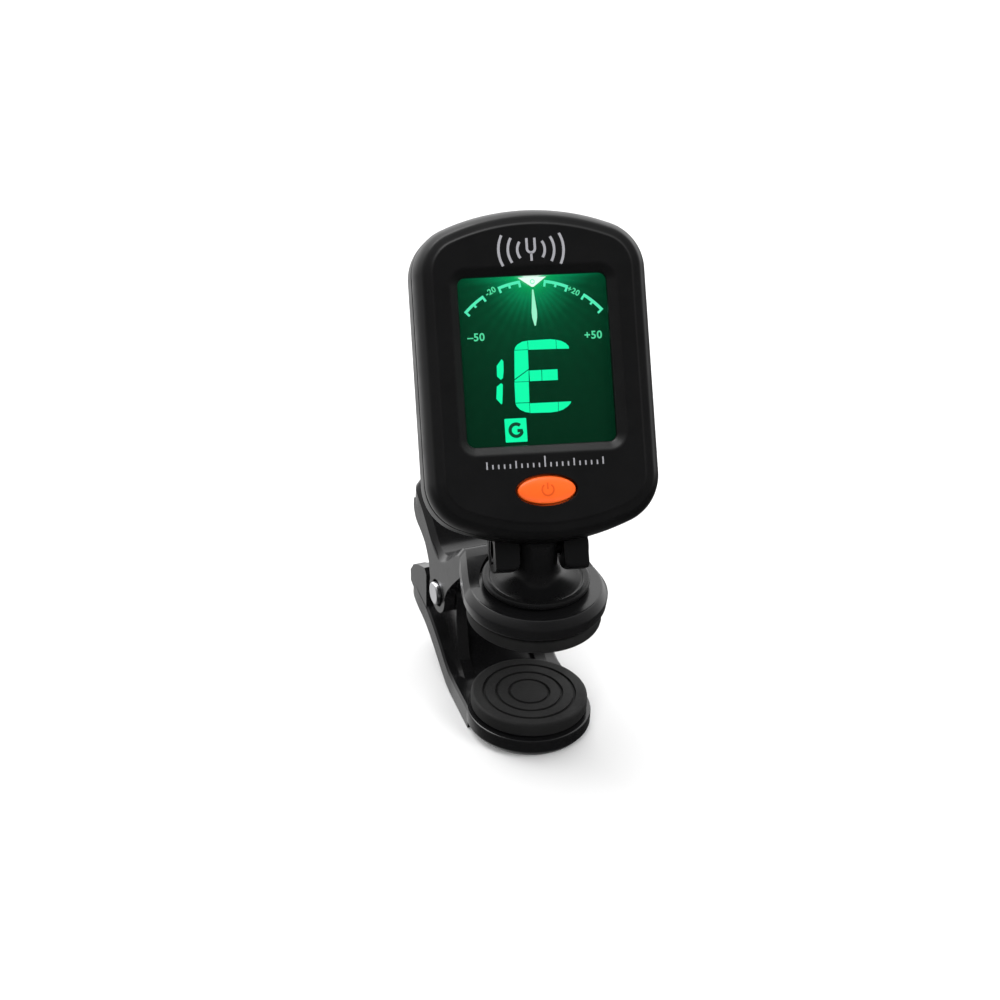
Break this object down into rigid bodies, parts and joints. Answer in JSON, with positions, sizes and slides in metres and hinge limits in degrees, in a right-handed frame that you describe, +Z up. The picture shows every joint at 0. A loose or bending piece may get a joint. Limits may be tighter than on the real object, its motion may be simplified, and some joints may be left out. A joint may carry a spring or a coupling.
{
  "type": "clip-on guitar tuner",
  "caption": "Clip-on instrument tuner: a lit display head that tilts and swivels on a spring clip with round rubber-padded jaws.",
  "frame": {"origin": "centre of the upper pad's clamping face", "axes": "+Z up the swivel axis, away from the clamped headstock; +Y from the jaw towards the finger levers; +X to the right of the jaw seen from the mouth"},
  "size_m": [0.036, 0.039, 0.071],
  "materials": {
    "black_plastic": "satin, moulded",
    "orange_plastic": "semi-gloss",
    "clear_plastic": "clear, smooth",
    "lcd_glass": "smooth, lit green from behind",
    "white_plastic": "matte",
    "light_guide_plastic": "smooth, translucent",
    "led_resin": "smooth",
    "zebra_rubber": "matte",
    "board_green": "satin solder mask",
    "bright_steel": "bright plated",
    "piezo_brass": "satin",
    "piezo_ceramic": "matte",
    "red_insulation": "satin",
    "black_rubber": "matte"
  },
  "bodies": {
    "clip": {"upper_arm": "black_plastic", "upper_pad": "black_rubber", "pivot_pin": "bright_steel", "pin_cap": "bright_steel", "torsion_spring": "bright_steel"},
    "swivel": {"swivel_post": "black_plastic", "swivel_screw": "bright_steel", "swivel_washer": "bright_steel"},
    "head": {"front_shell": "black_plastic", "rear_shell": "black_plastic", "display_lens": "clear_plastic", "lcd_glass": "lcd_glass", "lcd_holder": "white_plastic", "light_guide": "light_guide_plastic", "backlight_led_left": "led_resin", "backlight_led_right": "led_resin", "zebra_connector": "zebra_rubber", "switch_body": "bright_steel", "circuit_board": "board_green", "tuner_chip": "black_plastic", "crystal_can": "bright_steel", "piezo_disc": "piezo_brass", "piezo_ceramic": "piezo_ceramic", "piezo_wire_red": "red_insulation", "piezo_wire_black": "black_plastic", "coin_cell": "bright_steel", "cell_contact_minus": "bright_steel", "cell_contact_plus": "bright_steel", "case_screw_1": "bright_steel", "case_screw_2": "bright_steel", "case_screw_3": "bright_steel", "case_screw_4": "bright_steel", "tilt_screw": "bright_steel", "tilt_washer": "bright_steel", "tilt_nut": "bright_steel"},
    "button": {"power_button": "orange_plastic", "switch_plunger": "black_plastic"},
    "cover": {"battery_cover": "black_plastic"},
    "jaw": {"lower_arm": "black_plastic", "lower_pad": "black_rubber"}
  },
  "joints": [
    {"name": "swivel_turn", "type": "hinge", "parent": "clip", "child": "swivel", "pos_m": [0, 0, 0.006], "axis": [0, 0, 1], "continuous": true},
    {"name": "head_tilt", "type": "hinge", "parent": "swivel", "child": "head", "pos_m": [0, 0, 0.01145], "axis": [0.977, -0.213, 0], "range_deg": [-42, 58]},
    {"name": "button_press", "type": "slide", "parent": "head", "child": "button", "axis": [0.1672, 0.7668, -0.6198], "range_m": [0, 0.0005], "stiffness_N_per_m": 1500, "springref_m": -0.0004},
    {"name": "cover_slide", "type": "slide", "parent": "head", "child": "cover", "axis": [0.132, 0.6056, 0.7848], "range_m": [0, 0.027]},
    {"name": "jaw_open", "type": "hinge", "parent": "clip", "child": "jaw", "pos_m": [0, 0.0158, -0.0048], "axis": [1, 0, 0], "range_deg": [-29, 18], "stiffness_Nm_per_rad": 0.06, "springref_deg": -91.67, "deforming": ["torsion_spring"]}
  ]
}
